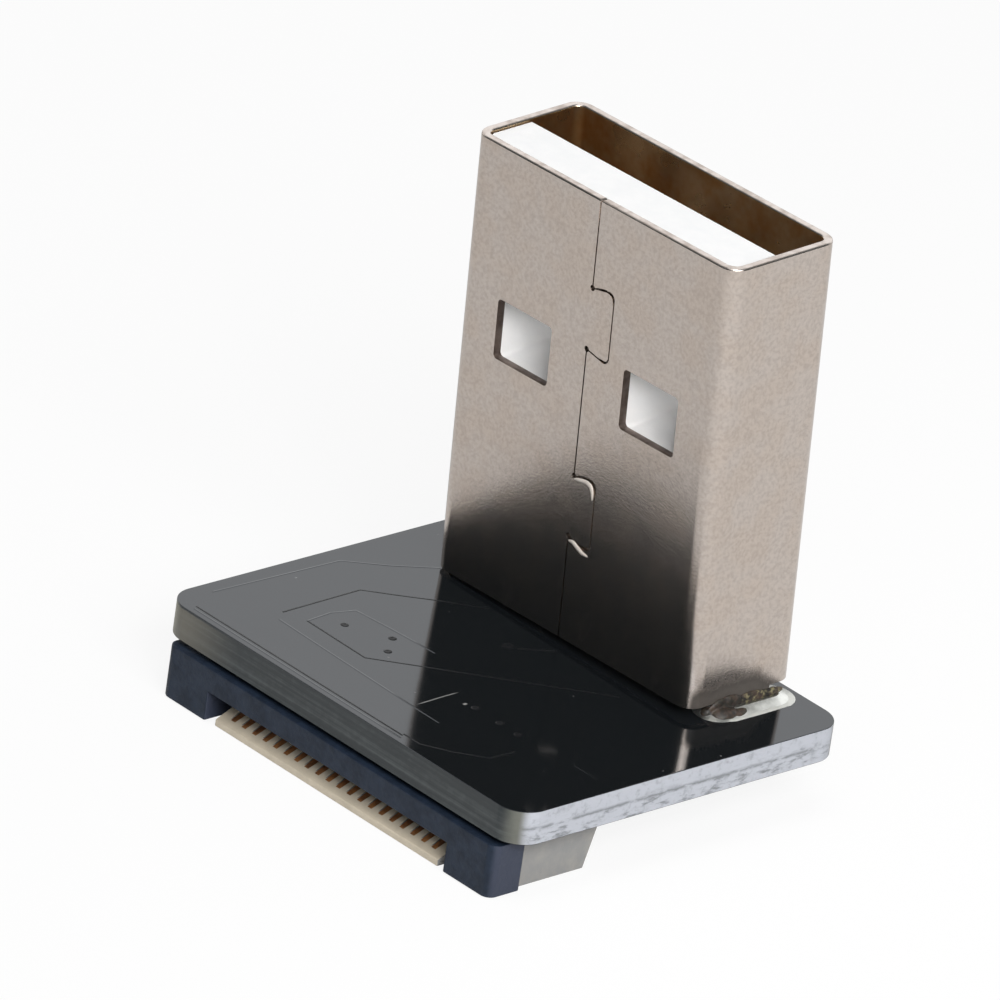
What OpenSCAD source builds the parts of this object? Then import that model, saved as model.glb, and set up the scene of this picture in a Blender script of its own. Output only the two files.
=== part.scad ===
// Straight through-hole type A plug on a small carrier board, with a
// slide-lock flat-cable connector under the board's front edge.
// Millimetres. The origin is the plug's axis at the board's top face:
// +X along the plug's width, -Y towards the cable opening, +Z out of the
// plug's mouth.

/* [Board] */
// Width of the board
board_width = 16.8; // [16:0.1:20]
// Distance from the plug's axis to the board's front edge
board_front = 11.45; // [11:0.05:14]
// Distance from the plug's axis to the board's rear edge
board_rear = 2.4; // [2.35:0.05:5]
// Thickness of the board
board_thickness = 1.15; // [0.8:0.05:1.6]
// Radius of the board's four corners
board_corner = 1; // [0.4:0.1:2]

/* [Plug shell] */
// Outer width of the folded shell
plug_width = 12; // [11.6:0.1:13]
// Outer depth of the folded shell
plug_depth = 4.5; // [4.4:0.1:5.4]
// Height of the shell from its lower edge to its mouth
plug_height = 15.15; // [14.5:0.05:18]
// Thickness of the sheet
sheet_thickness = 0.3; // [0.2:0.05:0.4]
// Outer radius of the shell's four folds
fold_radius = 0.6; // [0.5:0.05:0.9]
// Width of a latch window
window_width = 2.5; // [2:0.1:3]
// Height of a latch window
window_height = 2.05; // [1.6:0.05:2.4]
// Corner radius of a latch window
window_corner = 0.15; // [0.05:0.05:0.4]
// Distance between the middles of the two windows of a face
window_spacing = 5.85; // [5.2:0.05:6.6]
// Distance from the mouth down to the middle of the windows
window_drop = 6.1; // [5:0.05:7]

/* [Seam] */
// Width of the hairline gap between the sheet's two edges
seam_gap = 0.05; // [0.02:0.01:0.1]
// Distance of the seam to the left of the plug's middle
seam_offset = 0.06; // [0:0.02:0.4]
// How far a dovetail tab reaches across the seam
tab_reach = 1; // [0.8:0.05:1.3]
// Height of a tab at its neck
tab_neck = 2.1; // [1.6:0.05:2.4]
// Height of a tab at its tip
tab_tip = 2.5; // [2.4:0.05:2.9]
// Corner radius of a tab's tip
tab_corner = 0.22; // [0.1:0.02:0.3]
// Height of the lower tab's middle above the shell's lower edge
tab_height = 4.58; // [3:0.02:6]
// Distance between the middles of the two tabs
tab_spacing = 6.5; // [5:0.05:7]

/* [Plug as soldered] */
// Gap between the shell's lower edge and the board at the plug's axis
plug_lift = 0.335; // [0.3:0.005:0.6]
// Lean of the plug towards the board's front edge, in degrees
lean_front = 2.56; // [0:0.02:3]
// Lean of the plug towards the board's left edge, in degrees
lean_side = 1.1; // [0:0.02:1.6]
// Width of a shell leg
leg_width = 2; // [1.4:0.1:2.2]
// Length of a shell leg below the shell's lower edge
leg_length = 3; // [2.6:0.05:3.2]
// Distance of the legs behind the plug's axis
leg_offset = 0.2; // [0:0.05:0.3]
// Chamfer on a leg's two tip corners
leg_chamfer = 0.3; // [0.1:0.05:0.6]
// Clearance between a leg and its slot, across the sheet
slot_clearance = 0.2; // [0.15:0.01:0.3]
// Ring of tinned copper that solder wets around a slot or a hole
pad_margin = 0.4; // [0.25:0.05:0.5]
// Height of the solder cones under the board
solder_height = 0.8; // [0.4:0.05:1]

/* [Plug insulator and contacts] */
// Thickness of the moulded tongue
tongue_thickness = 1.84; // [1.6:0.02:2.1]
// Distance from the mouth down to the tongue's end
tongue_recess = 0.12; // [0.05:0.01:0.5]
// Gap between the tongue's sides and the shell
tongue_side_gap = 0.05; // [0.02:0.01:0.15]
// Height of the insulator's solid base above the shell's lower edge
base_height = 5; // [4:0.1:6]
// Distance of the base's underside above the shell's lower edge
base_inset = 0.2; // [0.1:0.05:0.5]
// Depth of the latch pockets in the tongue behind the front windows
pocket_depth = 0.5; // [0.3:0.05:0.8]
// Border of a latch pocket around its window
pocket_margin = 0.25; // [0.1:0.05:0.5]
// Width of a plug contact
contact_width = 1; // [0.8:0.05:1.1]
// Thickness of a plug contact
contact_thickness = 0.25; // [0.2:0.01:0.3]
// How far the plug contacts stand out of the tongue
contact_rise = 0.05; // [0.02:0.01:0.1]
// Distance between the middles of the two outer contacts
outer_contact_spacing = 7; // [6.6:0.05:7.6]
// Distance between the middles of the two inner contacts
inner_contact_spacing = 2; // [1.8:0.05:2.4]
// Distance from the tongue's end down to the outer contacts
outer_contact_drop = 0.7; // [0.5:0.05:1.5]
// Distance from the tongue's end down to the inner contacts
inner_contact_drop = 1.7; // [1:0.05:2.5]
// Width of a contact's pin through the board
pin_width = 0.6; // [0.4:0.05:0.7]
// Length of a pin below the shell's lower edge
pin_length = 2.7; // [2.5:0.05:3]
// Diameter of a pin's hole in the board
pin_hole = 0.95; // [0.9:0.01:1.1]

/* [Cable connector] */
// Number of ways
ways = 20; // [10:1:20]
// Distance between neighbouring ways
pitch = 0.5; // [0.48:0.01:0.5]
// Thickness of the flat cable's end
cable_thickness = 0.3; // [0.25:0.01:0.35]
// Clearance beside the cable in its slot
cable_side_gap = 0.03; // [0.02:0.01:0.1]
// Height of the connector from the board's underside
connector_height = 2; // [1.9:0.05:2.6]
// Gap under the housing and the slider
standoff = 0.1; // [0.08:0.01:0.15]
// Width of the housing
housing_width = 15; // [14.6:0.1:16]
// Distance from the slider's front to the housing's rear edge
housing_length = 4.2; // [4.1:0.05:5]
// Slope of the housing's rear face, in degrees
rear_slope = 16; // [12:1:25]
// Distance of the housing's lip behind the slider's front
lip_recess = 0.12; // [0.05:0.01:0.4]
// Height of the lip's upright front face
lip_face = 0.23; // [0.15:0.01:0.3]
// Slope of the lead-in between that face and the ribs, in degrees
lip_slope = 24; // [20:1:40]
// Depth of the grooves between the lip's ribs
groove_depth = 0.4; // [0.3:0.01:0.45]
// Thickness of the housing's floor under the lower arms
floor_thickness = 0.3; // [0.2:0.02:0.35]
// Distance from the slider's front to the floor's front edge
floor_front = 2; // [1.9:0.05:2.4]
// Distance from the slider's front to the root of the contact arms
throat = 3.4; // [3.2:0.05:3.5]

/* [Cable contacts] */
// Thickness of a stamped cable contact
blade_thickness = 0.2; // [0.15:0.01:0.22]
// Clearance on each side of a contact in its groove
groove_clearance = 0.04; // [0.02:0.01:0.06]
// Height of a contact's two arms
arm_height = 0.2; // [0.15:0.01:0.22]
// Distance of the upper arms' sloping tips behind the lead-in
tip_gap = 0.04; // [0.02:0.01:0.1]
// Distance from the slider's front to the bump that presses the cable
bump_place = 1.9; // [1.5:0.05:2.4]
// Radius of the bump
bump_radius = 0.1; // [0.05:0.01:0.12]
// Distance from the slider's front to the tip of the lower arms
lower_arm_tip = 2.3; // [2.2:0.05:2.6]
// Wall of the housing behind the contacts
rear_wall = 0.2; // [0.15:0.01:0.3]
// Length of a solder tail beyond the housing
tail_reach = 0.6; // [0.3:0.05:0.8]
// Thickness of a solder tail
tail_thickness = 0.15; // [0.12:0.01:0.2]
// Length of a hold-down tab along the housing's end
hold_down_length = 1.4; // [1:0.1:1.6]
// Distance from the slider's front to a hold-down tab
hold_down_place = 2.1; // [1.9:0.05:2.4]
// Height of a hold-down tab's upright inside the housing
hold_down_height = 0.8; // [0.5:0.05:1.2]

/* [Slider] */
// Width of the slider over its two ears
slider_width = 15.5; // [15:0.1:16.5]
// How far the closed slider stands out beyond the board's front edge
slider_overhang = 0.2; // [0:0.05:0.5]
// Travel of the slider when it opens
slider_travel = 1; // [0.6:0.05:1]
// Height of the bar
bar_height = 0.87; // [0.82:0.01:0.95]
// Length of the bar from front to back
bar_length = 0.9; // [0.6:0.05:1.2]
// Width of an ear
ear_width = 2.1; // [1.8:0.05:2.2]
// Length of an ear from front to back
ear_length = 1.3; // [1.2:0.05:1.7]
// Radius of an ear's outer front corner
ear_corner = 0.35; // [0.1:0.05:0.6]
// How much lower than the housing the ears end
ear_relief = 0.03; // [0.02:0.01:0.1]
// Distance from the slider's front to the tip of its wedge
wedge_tip = 2.9; // [2.5:0.05:3.1]
// Height of the taper on the wedge's tip
wedge_taper = 0.12; // [0.05:0.01:0.2]
// Running clearance of the slider
slide_gap = 0.05; // [0.03:0.01:0.08]
// Width of a guide arm
guide_width = 0.7; // [0.5:0.05:0.8]
// Height of a guide arm
guide_height = 0.6; // [0.4:0.05:0.8]
// Distance of a guide arm beside the cable slot
guide_inset = 0.6; // [0.4:0.05:0.65]
// Distance from the slider's front to the tip of its guide arms
guide_tip = 3.3; // [3.2:0.05:3.5]
// Sideways height of the catch on a guide arm
catch_height = 0.15; // [0.1:0.01:0.2]
// Length of the catch on a guide arm
catch_length = 0.4; // [0.3:0.05:0.45]

/* [Hidden] */
$fn = 48;
// Overshoot of a cutting tool beyond the face that it cuts
cut = 0.5;

inner_width = plug_width - 2 * sheet_thickness;
inner_depth = plug_depth - 2 * sheet_thickness;
inner_radius = fold_radius - sheet_thickness;
tongue_face = -inner_depth / 2 + tongue_thickness;
tongue_end = plug_height - tongue_recess;
window_middle = plug_height - window_drop;
seam_x = -seam_offset;

leg_x = (plug_width - sheet_thickness) / 2;
slot_width = sheet_thickness + 2 * slot_clearance;
slot_length = leg_width + slot_width + slot_clearance;

contact_face = tongue_face + contact_rise;
contact_back = contact_face - contact_thickness;
contact_bend = contact_thickness / 2;
contact_places = [-outer_contact_spacing / 2, -inner_contact_spacing / 2, inner_contact_spacing / 2, outer_contact_spacing / 2];
contact_drops = [outer_contact_drop, inner_contact_drop, inner_contact_drop, outer_contact_drop];

cable_slot = (ways + 1) * pitch + 2 * cable_side_gap;
groove_width = blade_thickness + 2 * groove_clearance;
floor_top = standoff + floor_thickness;
bar_top = standoff + bar_height;
rib_face = bar_top + cable_thickness;
groove_top = rib_face + groove_depth;
arm_face = groove_top - arm_height;
wedge_bottom = floor_top + arm_height + slide_gap;
contact_rear = rear_face(groove_top) - rear_wall;
tail_end = rear_face(standoff) + tail_reach;

guide_x = cable_slot / 2 + guide_inset + guide_width / 2;
guide_z = (standoff + connector_height) / 2;
catch_front = guide_tip - catch_length;
hold_down_x = (guide_x + guide_width / 2 + catch_height + slide_gap + housing_width / 2) / 2;

// Distance from the slider's front to the lip's sloping lead-in at a height
function lead_in(z) = lip_recess + (connector_height - lip_face - z) / tan(lip_slope);
// Distance from the slider's front to the housing's sloping rear face at a height
function rear_face(z) = housing_length + (connector_height - z) * tan(rear_slope);
function way_x(way) = (way - (ways + 1) / 2) * pitch;
function side_name(side) = side < 0 ? "left" : "right";
function way_name(way) = str("cable_contact_", way < 10 ? "0" : "", way);

// Rectangle centred on the origin with round corners
module rounded_rect(width, height, radius) {
    square([width - 2 * radius, height], center = true);
    square([width, height - 2 * radius], center = true);
    for (x = [-1, 1], y = [-1, 1])
        translate([x * (width / 2 - radius), y * (height / 2 - radius)]) circle(radius);
}

// Slot outline with round ends, long side along Y
module stadium(length, width) {
    square([width, length - width], center = true);
    for (end = [-1, 1]) translate([0, end * (length - width) / 2]) circle(d = width);
}

// Stadium that tapers upwards, as solder does where it wets a leg
module tapered_stadium(length, width, top_width, height) {
    rotate([90, 0, 0])
        linear_extrude(length - width, center = true)
            polygon([[-width / 2, 0], [width / 2, 0], [top_width / 2, height], [-top_width / 2, height]]);
    for (end = [-1, 1])
        translate([0, end * (length - width) / 2, 0]) cylinder(h = height, d1 = width, d2 = top_width);
}

// Extrudes an outline drawn in Y and Z along X
module along_x(width) {
    rotate([90, 0, 90]) linear_extrude(width, center = true) children();
}

// The plug's own frame: z = 0 at the shell's lower edge, lift and lean as soldered
module plug_place() {
    rotate([lean_front, -lean_side, 0]) translate([0, 0, plug_lift]) children();
}

// The connector's own frame: y from the closed slider's front, z away from the board
module connector_place() {
    translate([0, -board_front - slider_overhang, -board_thickness]) mirror([0, 0, 1]) children();
}

module circuit_board() {
    color([0.13, 0.14, 0.15])
        difference() {
            translate([0, (board_rear - board_front) / 2, -board_thickness])
                linear_extrude(board_thickness)
                    rounded_rect(board_width, board_front + board_rear, board_corner);
            for (side = [-1, 1])
                translate([side * leg_x, leg_offset, -board_thickness - cut])
                    linear_extrude(board_thickness + 2 * cut) stadium(slot_length, slot_width);
            for (x = contact_places)
                translate([x, contact_back + contact_thickness / 2, -board_thickness - cut])
                    cylinder(h = board_thickness + 2 * cut, d = pin_hole);
        }
}

// One dovetail tab, pointing along +X from the seam, grown by half the gap or less
module dovetail(grow) {
    flank = atan2((tab_tip - tab_neck) / 2, tab_reach);
    normal = [-sin(flank), cos(flank)];
    corner_x = tab_reach - tab_corner;
    corner = [corner_x, tab_neck / 2 + (corner_x * sin(flank) - tab_corner) / cos(flank)];
    root = [-cut * cos(flank), tab_neck / 2 - cut * sin(flank)] + grow * normal;
    flank_end = corner + (tab_corner + grow) * normal;
    tip = corner + [tab_corner + grow, 0];
    polygon([
        root, flank_end, tip,
        [tip[0], -tip[1]], [flank_end[0], -flank_end[1]], [root[0], -root[1]]
    ]);
    for (end = [-1, 1])
        translate([corner[0], end * corner[1]]) circle(tab_corner + grow);
}

// The left edge of the folded sheet with its two tabs
module left_edge(grow) {
    translate([-plug_width / 2, -cut])
        square([plug_width / 2 + seam_x + grow, plug_height + 2 * cut]);
    for (z = [tab_height, tab_height + tab_spacing])
        translate([seam_x, z]) dovetail(grow);
}

module seam_cutter() {
    translate([0, -inner_depth / 2 + sheet_thickness / 2, 0])
        rotate([90, 0, 0])
            linear_extrude(2 * sheet_thickness)
                intersection() {
                    difference() {
                        left_edge(seam_gap / 2);
                        left_edge(-seam_gap / 2);
                    }
                    translate([seam_x - cut, -cut]) square([tab_reach + 2 * cut, plug_height + 2 * cut]);
                }
}

module window_cutter(depth, margin) {
    for (side = [-1, 1])
        translate([side * window_spacing / 2, 0, window_middle])
            rotate([90, 0, 0])
                linear_extrude(depth, center = true)
                    rounded_rect(window_width + 2 * margin, window_height + 2 * margin, window_corner);
}

// Leg that the sheet's short sides carry down through the board
module shell_leg(side) {
    translate([side * leg_x, leg_offset, 0])
        along_x(sheet_thickness)
            polygon([
                [-leg_width / 2, leg_width / 2], [-leg_width / 2, leg_chamfer - leg_length],
                [leg_chamfer - leg_width / 2, -leg_length], [leg_width / 2 - leg_chamfer, -leg_length],
                [leg_width / 2, leg_chamfer - leg_length], [leg_width / 2, leg_width / 2]
            ]);
}

module plug_shell() {
    color([0.72, 0.68, 0.65])
        plug_place()
            difference() {
                union() {
                    linear_extrude(plug_height)
                        difference() {
                            rounded_rect(plug_width, plug_depth, fold_radius);
                            rounded_rect(inner_width, inner_depth, inner_radius);
                        }
                    for (side = [-1, 1]) shell_leg(side);
                }
                seam_cutter();
                window_cutter(plug_depth + 2 * cut, 0);
            }
}

// Contact strip with its tip bent into the tongue and a narrower pin below
module contact_strip(place) {
    tip = tongue_end - contact_drops[place];
    bend_y = contact_back - contact_bend;
    bend_z = tip - contact_bend - contact_thickness;
    translate([contact_places[place], 0, 0]) {
        along_x(contact_width) {
            translate([contact_back, base_inset]) square([contact_thickness, bend_z - base_inset]);
            intersection() {
                translate([bend_y, bend_z])
                    difference() {
                        circle(contact_bend + contact_thickness);
                        circle(contact_bend);
                    }
                translate([bend_y, bend_z]) square(2 * contact_thickness);
            }
            translate([bend_y - contact_bend, tip - contact_thickness])
                square([contact_bend, contact_thickness]);
        }
        along_x(pin_width)
            translate([contact_back, -pin_length])
                square([contact_thickness, pin_length + 2 * base_inset]);
    }
}

module plug_contact(place) {
    color([0.85, 0.68, 0.35]) plug_place() contact_strip(place);
}

module plug_insulator() {
    color([0.96, 0.96, 0.95])
        plug_place()
            difference() {
                union() {
                    translate([0, 0, base_inset])
                        linear_extrude(base_height - base_inset)
                            rounded_rect(inner_width, inner_depth, inner_radius);
                    translate([0, 0, base_inset])
                        linear_extrude(tongue_end - base_inset)
                            intersection() {
                                rounded_rect(inner_width - 2 * tongue_side_gap, inner_depth, inner_radius);
                                translate([-plug_width / 2, -inner_depth / 2])
                                    square([plug_width, tongue_thickness]);
                            }
                }
                translate([0, -inner_depth / 2, 0]) window_cutter(2 * pocket_depth, pocket_margin);
                for (place = [0:3]) contact_strip(place);
            }
}

// Solder that fills a slot, wets the pads and stops at the shell's edge
module leg_solder(side) {
    pad_width = slot_width + 2 * pad_margin;
    pad_length = slot_length + 2 * pad_margin;
    color([0.75, 0.76, 0.78])
        difference() {
            translate([side * leg_x, leg_offset, 0]) {
                tapered_stadium(pad_length, pad_width, slot_width, plug_lift / 2);
                translate([0, 0, -board_thickness])
                    linear_extrude(board_thickness) stadium(slot_length, slot_width);
                translate([0, 0, -board_thickness])
                    mirror([0, 0, 1]) tapered_stadium(pad_length, pad_width, slot_width, solder_height);
            }
            plug_place() {
                shell_leg(side);
                translate([-plug_width, -plug_depth, 0]) cube([2 * plug_width, 2 * plug_depth, plug_height]);
            }
        }
}

// Solder that fills a pin's hole and wets its pad under the board
module pin_solder(place) {
    color([0.75, 0.76, 0.78])
        difference() {
            translate([contact_places[place], contact_back + contact_thickness / 2, -board_thickness]) {
                cylinder(h = board_thickness, d = pin_hole);
                mirror([0, 0, 1])
                    cylinder(h = solder_height, d1 = pin_hole + 2 * pad_margin, d2 = pin_hole);
            }
            plug_place() contact_strip(place);
        }
}

// Outline of the housing between its ends, in depth and height
module housing_middle() {
    polygon([
        [lead_in(rib_face), rib_face], [lip_recess, connector_height - lip_face],
        [lip_recess, connector_height], [housing_length, connector_height], [rear_face(standoff), standoff],
        [floor_front, standoff], [floor_front, floor_top],
        [throat, floor_top], [throat, rib_face]
    ]);
}

module housing_end() {
    front = ear_length + slide_gap;
    polygon([
        [front, standoff], [front, connector_height],
        [housing_length, connector_height], [rear_face(standoff), standoff]
    ]);
}

// Room for one stamped contact: groove, body slot and tail groove
module contact_slot() {
    along_x(groove_width) {
        translate([-cut, rib_face - cut]) square([contact_rear + cut, groove_depth + cut]);
        translate([throat, -cut]) square([contact_rear - throat, groove_top + cut]);
        translate([throat, -cut]) square([tail_end, cut + tail_thickness + groove_clearance]);
    }
}

// Room for a guide arm and for its catch over the whole travel
module guide_pocket(side) {
    room = guide_width + 2 * slide_gap;
    height = guide_height + 2 * slide_gap;
    back = guide_tip + slide_gap;
    catch_room = catch_front - slider_travel - slide_gap;
    translate([side * guide_x, 0, guide_z - height / 2]) {
        translate([-room / 2, 0, 0]) cube([room, back, height]);
        translate([side > 0 ? 0 : -room / 2 - catch_height, catch_room, 0])
            cube([room / 2 + catch_height, back - catch_room, height]);
    }
}

module connector_housing() {
    end_width = (housing_width - cable_slot) / 2;
    color([0.86, 0.8, 0.72])
        connector_place()
            difference() {
                union() {
                    along_x(cable_slot) housing_middle();
                    for (side = [-1, 1])
                        translate([side * (cable_slot + end_width) / 2, 0, 0]) along_x(end_width) housing_end();
                }
                for (way = [1:ways]) translate([way_x(way), 0, 0]) contact_slot();
                for (side = [-1, 1]) {
                    guide_pocket(side);
                    hold_down_upright(side);
                }
            }
}

// Stamped contact: two arms, a body with a round throat and a solder tail
module cable_contact(way) {
    throat_radius = (arm_face - floor_top - arm_height) / 2;
    color([0.78, 0.6, 0.32])
        connector_place()
            translate([way_x(way), 0, 0])
                along_x(blade_thickness) {
                    polygon([
                        [lead_in(groove_top) + tip_gap, groove_top], [lead_in(arm_face) + tip_gap, arm_face],
                        [throat, arm_face], [throat, groove_top]
                    ]);
                    translate([bump_place, rib_face]) circle(bump_radius);
                    translate([bump_place - bump_radius, rib_face])
                        square([2 * bump_radius, arm_face - rib_face]);
                    translate([lower_arm_tip, floor_top]) square([throat - lower_arm_tip, arm_height]);
                    difference() {
                        translate([throat, 0]) square([contact_rear - throat, groove_top]);
                        translate([throat, (groove_top + floor_top) / 2]) circle(throat_radius);
                    }
                    translate([throat, 0]) square([tail_end - throat, tail_thickness]);
                }
}

module hold_down_upright(side) {
    translate([side * hold_down_x - blade_thickness / 2, hold_down_place, standoff])
        cube([blade_thickness, hold_down_length, hold_down_height]);
}

// Bent tab that holds the housing's end down: an upright and a soldered foot
module hold_down(side) {
    foot_width = housing_width / 2 - guide_x;
    color([0.75, 0.76, 0.78])
        connector_place() {
            hold_down_upright(side);
            translate([side * (guide_x + foot_width / 2) - foot_width / 2, hold_down_place, 0])
                cube([foot_width, hold_down_length, standoff]);
        }
}

// Plan of an ear with its outer front corner round
module ear_plan() {
    difference() {
        translate([-ear_width, 0]) square([ear_width, ear_length]);
        translate([-ear_corner, 0]) square(ear_corner);
    }
    intersection() {
        translate([-ear_corner, ear_corner]) circle(ear_corner);
        translate([-ear_width, 0]) square([ear_width, ear_length]);
    }
}

module guide_arm(side) {
    translate([side * guide_x, 0, guide_z - guide_height / 2]) {
        translate([-guide_width / 2, ear_length / 2, 0])
            cube([guide_width, guide_tip - ear_length / 2, guide_height]);
        translate([side > 0 ? 0 : -guide_width / 2 - catch_height, catch_front, 0])
            cube([guide_width / 2 + catch_height, catch_length, guide_height]);
    }
}

module connector_slider() {
    bar_width = slider_width - 2 * ear_width;
    wedge_width = cable_slot - 2 * slide_gap;
    color([0.19, 0.22, 0.27])
        connector_place() {
            translate([-bar_width / 2 - slide_gap, 0, standoff])
                cube([bar_width + 2 * slide_gap, bar_length, bar_height]);
            along_x(wedge_width)
                polygon([
                    [bar_length / 2, wedge_bottom], [wedge_tip, wedge_bottom],
                    [wedge_tip, bar_top - wedge_taper], [wedge_tip - 4 * wedge_taper, bar_top],
                    [bar_length / 2, bar_top]
                ]);
            for (side = [-1, 1]) {
                translate([side * slider_width / 2, 0, standoff])
                    mirror([side < 0 ? 1 : 0, 0, 0])
                        linear_extrude(connector_height - ear_relief - standoff) ear_plan();
                guide_arm(side);
            }
        }
}

circuit_board();
plug_shell();
plug_insulator();
for (i = [1:4]) plug_contact(i - 1);
for (i = [1:4]) pin_solder(i - 1);
for (side = [-1, 1])
    leg_solder(side);
connector_housing();
connector_slider();
for (side = [-1, 1])
    hold_down(side);
for (way = [1:ways]) cable_contact(way);
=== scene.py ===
"""Dresses a board that joins an upright plug to a flat-cable connector, and sets up its studio."""

import logging
import math
from collections.abc import Callable, Iterable, Mapping, Sequence
from dataclasses import dataclass
from enum import Enum
from typing import Any

import bpy
from mathutils import Matrix, Vector


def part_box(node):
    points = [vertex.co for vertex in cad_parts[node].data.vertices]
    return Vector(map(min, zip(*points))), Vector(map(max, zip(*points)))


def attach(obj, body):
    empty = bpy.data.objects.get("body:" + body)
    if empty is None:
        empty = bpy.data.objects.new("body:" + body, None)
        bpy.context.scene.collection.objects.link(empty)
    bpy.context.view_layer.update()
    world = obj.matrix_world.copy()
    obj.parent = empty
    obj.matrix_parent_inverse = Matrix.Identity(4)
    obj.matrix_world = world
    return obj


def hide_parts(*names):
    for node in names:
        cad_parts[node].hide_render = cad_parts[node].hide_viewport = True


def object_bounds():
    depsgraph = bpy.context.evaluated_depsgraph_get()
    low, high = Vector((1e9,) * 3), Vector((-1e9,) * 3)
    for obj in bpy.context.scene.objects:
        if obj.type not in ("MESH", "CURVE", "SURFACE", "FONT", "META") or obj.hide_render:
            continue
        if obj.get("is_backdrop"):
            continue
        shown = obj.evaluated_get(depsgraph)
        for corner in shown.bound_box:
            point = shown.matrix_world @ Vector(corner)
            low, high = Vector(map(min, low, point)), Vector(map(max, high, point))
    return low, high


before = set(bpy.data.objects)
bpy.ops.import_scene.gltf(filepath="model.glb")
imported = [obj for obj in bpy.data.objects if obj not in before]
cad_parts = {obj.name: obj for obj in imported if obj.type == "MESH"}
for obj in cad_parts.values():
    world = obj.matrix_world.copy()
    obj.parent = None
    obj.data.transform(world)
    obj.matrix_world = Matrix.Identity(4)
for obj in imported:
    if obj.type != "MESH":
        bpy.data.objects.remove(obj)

LOG = logging.getLogger("plug_board")
MM = 0.001
PER_METRE = 1000.0
MERGE_DISTANCE = 1.0e-7
FLAT_ANGLE = math.radians(0.4)
SMOOTH_ANGLE = math.radians(32)

Point = tuple[float, float, float]
Spot = tuple[float, float]
Rgb = tuple[float, float, float]


class Body(Enum):
    """The two bodies that pieces ride on."""

    BOARD = "plug_board"
    SLIDER = "cable_slider"


class Slot(Enum):
    """The names of the record's material slots."""

    BOARD = "board"
    SHELL = "shell"
    INSULATOR = "insulator"
    SOLDER = "solder"
    HOUSING = "housing"
    SLIDER = "slider"


# ---------------------------------------------------------------- shader maths


class Wire:
    """A number that a material works out at each point, with the usual arithmetic."""

    def __init__(self, graph: "Graph", socket: bpy.types.NodeSocket) -> None:
        """Keeps the socket that the number comes from.

        Args:
            graph: The graph that new maths nodes are added to.
            socket: The output that gives the number.
        """
        self.graph = graph
        self.socket = socket

    def __add__(self, other: "Number") -> "Wire":
        """The sum."""
        return self.graph.maths("ADD", self, other)

    __radd__ = __add__

    def __mul__(self, other: "Number") -> "Wire":
        """The product."""
        return self.graph.maths("MULTIPLY", self, other)

    __rmul__ = __mul__

    def __sub__(self, other: "Number") -> "Wire":
        """The difference."""
        return self.graph.maths("SUBTRACT", self, other)

    def __rsub__(self, other: "Number") -> "Wire":
        """The difference, the other way round."""
        return self.graph.maths("SUBTRACT", other, self)

    def __abs__(self) -> "Wire":
        """The size without its sign."""
        return self.graph.maths("ABSOLUTE", self)

    def rise(self, start: float, end: float) -> "Wire":
        """A smooth step.

        Args:
            start: The number that gives 0.
            end: The number that gives 1. It may be below start.

        Returns:
            The step, from 0 to 1.
        """
        low, high, out = (start, end, (0.0, 1.0)) if start < end else (end, start, (1.0, 0.0))
        settings = {"interpolation_type": "SMOOTHSTEP"}
        sockets = {"Value": self, "From Min": low, "From Max": high, "To Min": out[0], "To Max": out[1]}
        return self.graph.wire("ShaderNodeMapRange", settings, sockets)

    def band(self, middle: float, width: float, soft: float) -> "Wire":
        """A soft-edged band around one value.

        Args:
            middle: The value in the middle of the band.
            width: The band's whole width.
            soft: The width over which each side fades.

        Returns:
            The band, 1 inside and 0 outside.
        """
        return abs(self - middle).rise(width / 2 + soft / 2, width / 2 - soft / 2)


Number = float | Wire


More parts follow.
